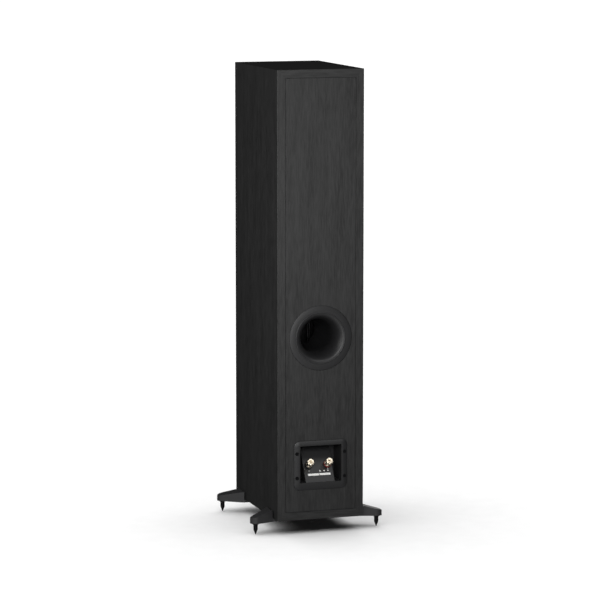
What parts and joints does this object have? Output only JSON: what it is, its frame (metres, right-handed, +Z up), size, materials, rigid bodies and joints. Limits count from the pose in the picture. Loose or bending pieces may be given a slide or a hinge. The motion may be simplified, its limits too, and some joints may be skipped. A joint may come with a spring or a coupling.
{
  "type": "floor-standing loudspeaker",
  "caption": "Slim black tower loudspeaker with front drive units, a rear bass port, a recessed terminal cup with gold posts, and splayed spiked feet.",
  "frame": {"origin": "on the floor, under the middle of the cabinet", "axes": "+Z up, -Y the way the drive units face, +X to the right of someone who faces them"},
  "size_m": [0.309, 0.327, 1.032],
  "materials": {
    "vinyl_wrap": "black vinyl with a fine upright wood grain over board",
    "baffle_vinyl": "smooth satin black film over board",
    "raw_board": "raw fibreboard",
    "felt": "pressed felt",
    "moulded_plastic": "fine spark-textured moulded plastic",
    "black_plastic": "smooth moulded",
    "red_plastic": "smooth moulded",
    "foam_rubber": "closed-cell foam",
    "butyl_rubber": "satin butyl rubber",
    "white_label": "printed film",
    "gold_plate": "gold plated, polished",
    "zinc_steel": "zinc plated",
    "black_steel": "black zinc and powder coat",
    "cast_foot": "satin powder-coated casting",
    "ferrite": "sintered ferrite",
    "copper_wire": "enamelled copper winding",
    "paper_cone": "coated paper pulp",
    "spider_cloth": "resin-stiffened cotton",
    "silk": "coated silk",
    "circuit_board": "epoxy glass laminate",
    "capacitor_film": "polyester film wrap",
    "cement": "cement filled ceramic",
    "wire_sleeve": "soft insulation"
  },
  "bodies": {
    "cabinet": {"side_panel_left": "vinyl_wrap", "side_panel_right": "vinyl_wrap", "top_panel": "vinyl_wrap", "bottom_panel": "vinyl_wrap", "front_baffle": "baffle_vinyl", "rear_panel": "vinyl_wrap", "brace_upper": "raw_board", "brace_middle": "raw_board", "brace_lower": "raw_board", "damping_felt": "felt", "port_flare": "moulded_plastic", "port_tube": "moulded_plastic", "terminal_cup": "moulded_plastic", "terminal_gasket": "foam_rubber", "terminal_screws": "black_steel", "label_plate": "white_label", "post_studs": "gold_plate", "post_back_nuts": "zinc_steel", "crossover_board": "circuit_board", "crossover_coils": "copper_wire", "crossover_capacitors": "capacitor_film", "crossover_resistors": "cement", "crossover_screws": "zinc_steel", "input_wires": "wire_sleeve", "driver_wires": "wire_sleeve", "upper_woofer_basket": "black_steel", "upper_woofer_surround": "butyl_rubber", "upper_woofer_spider": "spider_cloth", "lower_woofer_basket": "black_steel", "lower_woofer_surround": "butyl_rubber", "lower_woofer_spider": "spider_cloth", "woofer_top_plates": "zinc_steel", "woofer_magnets": "ferrite", "woofer_yokes": "zinc_steel", "woofer_screws": "black_steel", "tweeter_faceplate": "moulded_plastic", "tweeter_surround": "butyl_rubber", "tweeter_motor": "ferrite", "tweeter_screws": "black_steel", "foot_front_left": "cast_foot", "foot_front_right": "cast_foot", "foot_rear_left": "cast_foot", "foot_rear_right": "cast_foot", "foot_screws": "zinc_steel"},
    "upper_cone": {"upper_woofer_cone": "paper_cone", "upper_woofer_dust_cap": "paper_cone", "upper_woofer_voice_coil": "copper_wire"},
    "lower_cone": {"lower_woofer_cone": "paper_cone", "lower_woofer_dust_cap": "paper_cone", "lower_woofer_voice_coil": "copper_wire"},
    "tweeter_diaphragm": {"tweeter_dome": "silk", "tweeter_voice_coil": "copper_wire"},
    "red_collar": {"post_ring_red": "red_plastic"},
    "red_thumb_nut": {"post_nut_red": "gold_plate"},
    "black_collar": {"post_ring_black": "black_plastic"},
    "black_thumb_nut": {"post_nut_black": "gold_plate"},
    "levelling_spike_front_left": {"spike_front_left": "black_steel"},
    "levelling_spike_front_right": {"spike_front_right": "black_steel"},
    "levelling_spike_rear_left": {"spike_rear_left": "black_steel"},
    "levelling_spike_rear_right": {"spike_rear_right": "black_steel"}
  },
  "joints": [
    {"name": "upper_cone_travel", "type": "slide", "parent": "cabinet", "child": "upper_cone", "axis": [0, -1, 0], "range_m": [-0.005, 0.005], "stiffness_N_per_m": 1200, "deforming": ["upper_woofer_surround", "upper_woofer_spider"]},
    {"name": "lower_cone_travel", "type": "slide", "parent": "cabinet", "child": "lower_cone", "axis": [0, -1, 0], "range_m": [-0.005, 0.005], "stiffness_N_per_m": 1200, "deforming": ["lower_woofer_surround", "lower_woofer_spider"]},
    {"name": "dome_travel", "type": "slide", "parent": "cabinet", "child": "tweeter_diaphragm", "axis": [0, -1, 0], "range_m": [-0.0004, 0.0004], "stiffness_N_per_m": 1500, "deforming": ["tweeter_surround"]},
    {"name": "red_collar_travel", "type": "slide", "parent": "cabinet", "child": "red_collar", "axis": [0, 0.8572, 0.515], "range_m": [0, 0.005]},
    {"name": "red_nut_turn", "type": "hinge", "parent": "red_collar", "child": "red_thumb_nut", "pos_m": [-0.022, 0.14782, 0.15519], "axis": [0, 0.8572, 0.515], "range_deg": [0, 1800]},
    {"name": "black_collar_travel", "type": "slide", "parent": "cabinet", "child": "black_collar", "axis": [0, 0.8572, 0.515], "range_m": [0, 0.005]},
    {"name": "black_nut_turn", "type": "hinge", "parent": "black_collar", "child": "black_thumb_nut", "pos_m": [0.022, 0.14782, 0.15519], "axis": [0, 0.8572, 0.515], "range_deg": [0, 1800]},
    {"name": "spike_travel_front_left", "type": "slide", "parent": "cabinet", "child": "levelling_spike_front_left", "axis": [0, 0, -1], "range_m": [0, 0.008]},
    {"name": "spike_travel_front_right", "type": "slide", "parent": "cabinet", "child": "levelling_spike_front_right", "axis": [0, 0, -1], "range_m": [0, 0.008]},
    {"name": "spike_travel_rear_left", "type": "slide", "parent": "cabinet", "child": "levelling_spike_rear_left", "axis": [0, 0, -1], "range_m": [0, 0.008]},
    {"name": "spike_travel_rear_right", "type": "slide", "parent": "cabinet", "child": "levelling_spike_rear_right", "axis": [0, 0, -1], "range_m": [0, 0.008]}
  ],
  "couplings": [
    {"joint": "red_nut_turn", "follows": "red_collar_travel", "rad_per_m": 6283.2},
    {"joint": "black_nut_turn", "follows": "black_collar_travel", "rad_per_m": 6283.2}
  ]
}
